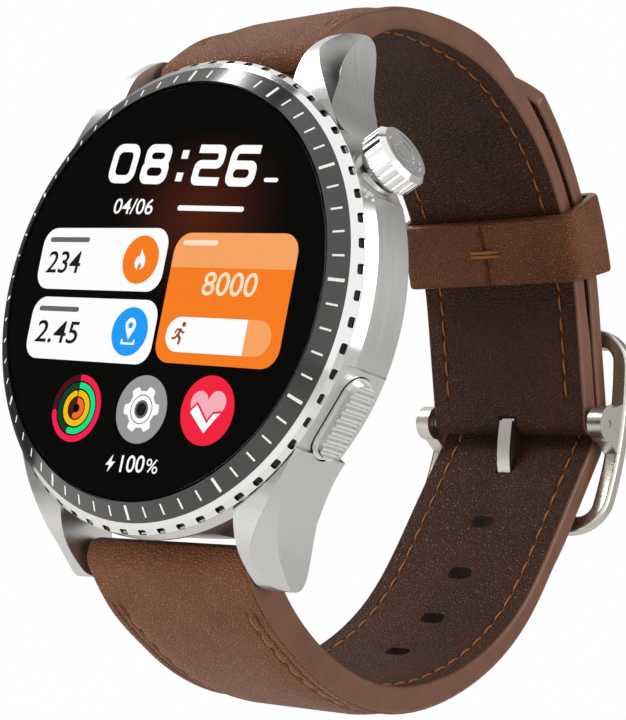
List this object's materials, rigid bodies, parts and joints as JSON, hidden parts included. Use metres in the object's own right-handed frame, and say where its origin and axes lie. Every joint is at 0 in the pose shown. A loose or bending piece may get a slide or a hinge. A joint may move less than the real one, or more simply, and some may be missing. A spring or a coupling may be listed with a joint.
{
  "type": "smartwatch",
  "caption": "Round smartwatch with a notched rotating bezel, a crown, a side pusher, curved lugs and a stitched leather strap closed by a pin buckle.",
  "frame": {"origin": "centre of the skin window, the flat on the back of the case that rests on the wrist", "axes": "+Y out of the back of the case towards the wrist, +Z to 12 o'clock, +X to 3 o'clock"},
  "size_m": [0.0467, 0.0648, 0.0718],
  "materials": {
    "polished_steel": "polished bevels and brushed flats",
    "black_insert": "gloss black",
    "cover_glass": "polished",
    "display_stack": "gloss",
    "dark_plastic": "matte",
    "circuit_board": "solder mask",
    "battery_foil": "foil",
    "seal_rubber": "matte",
    "motor_steel": "brushed",
    "contact_gold": "plated",
    "strap_leather": "fine grain",
    "lining_leather": "smooth",
    "padding_felt": "felt",
    "buckle_steel": "satin"
  },
  "bodies": {
    "case": {"back_gasket": "seal_rubber", "back_screws": "motor_steel", "battery": "battery_foil", "bezel_gasket": "seal_rubber", "bezel_retaining_wire": "motor_steel", "buckle_pin": "buckle_steel", "case_back": "dark_plastic", "charge_contacts": "contact_gold", "crown_sensor": "circuit_board", "crown_tube": "polished_steel", "display_flex": "circuit_board", "display_glass": "cover_glass", "display_panel": "display_stack", "glass_adhesive": "dark_plastic", "inner_frame": "dark_plastic", "long_strap_leather": "strap_leather", "long_strap_lining": "lining_leather", "long_strap_padding": "padding_felt", "lower_bar_tube": "motor_steel", "main_board": "circuit_board", "mid_case": "polished_steel", "pusher_switch": "circuit_board", "sensor_board": "circuit_board", "short_strap_leather": "strap_leather", "short_strap_lining": "lining_leather", "short_strap_padding": "padding_felt", "skin_window": "cover_glass", "speaker": "dark_plastic", "upper_bar_tube": "motor_steel", "vibration_motor": "motor_steel"},
    "bezel": {"bezel_ring": "polished_steel", "bezel_insert": "black_insert"},
    "crown_slider": {"crown_clip": "motor_steel"},
    "crown": {"crown_knob": "polished_steel", "crown_stem": "polished_steel"},
    "pusher": {"pusher": "polished_steel"},
    "keeper": {"keeper": "strap_leather"},
    "buckle_frame": {"buckle_frame": "buckle_steel"},
    "buckle_tongue": {"buckle_tongue": "buckle_steel"},
    "upper_tip_left": {"upper_bar_tip_left": "motor_steel"},
    "upper_tip_right": {"upper_bar_tip_right": "motor_steel"},
    "lower_tip_left": {"lower_bar_tip_left": "motor_steel"},
    "lower_tip_right": {"lower_bar_tip_right": "motor_steel"}
  },
  "joints": [
    {"name": "bezel_turn", "type": "hinge", "parent": "case", "child": "bezel", "pos_m": [0, 0, 0], "axis": [0, 1, 0], "continuous": true},
    {"name": "crown_press", "type": "slide", "parent": "case", "child": "crown_slider", "axis": [-0.866, 0, -0.5], "range_m": [0, 0.0004], "stiffness_N_per_m": 1500},
    {"name": "crown_turn", "type": "hinge", "parent": "crown_slider", "child": "crown", "pos_m": [0.01949, -0.0057, 0.01125], "axis": [0.866, 0, 0.5], "continuous": true},
    {"name": "pusher_press", "type": "slide", "parent": "case", "child": "pusher", "axis": [-0.866, 0, 0.5], "range_m": [0, 0.00035], "stiffness_N_per_m": 1500},
    {"name": "keeper_slide", "type": "hinge", "parent": "case", "child": "keeper", "pos_m": [0, 0.0124, 0.00085], "axis": [1, 0, 0], "range_deg": [-5, 10]},
    {"name": "buckle_frame_turn", "type": "hinge", "parent": "case", "child": "buckle_frame", "pos_m": [0, 0.04915, -0.0003], "axis": [1, 0, 0], "range_deg": [-3, 0]},
    {"name": "buckle_tongue_turn", "type": "hinge", "parent": "case", "child": "buckle_tongue", "pos_m": [0, 0.04915, -0.0003], "axis": [1, 0, 0], "range_deg": [0, 2]},
    {"name": "upper_tip_right_press", "type": "slide", "parent": "case", "child": "upper_tip_right", "axis": [-1, 0, 0], "range_m": [0, 0.0012], "stiffness_N_per_m": 300},
    {"name": "upper_tip_left_press", "type": "slide", "parent": "case", "child": "upper_tip_left", "axis": [1, 0, 0], "range_m": [0, 0.0012], "stiffness_N_per_m": 300},
    {"name": "lower_tip_right_press", "type": "slide", "parent": "case", "child": "lower_tip_right", "axis": [-1, 0, 0], "range_m": [0, 0.0012], "stiffness_N_per_m": 300},
    {"name": "lower_tip_left_press", "type": "slide", "parent": "case", "child": "lower_tip_left", "axis": [1, 0, 0], "range_m": [0, 0.0012], "stiffness_N_per_m": 300}
  ]
}
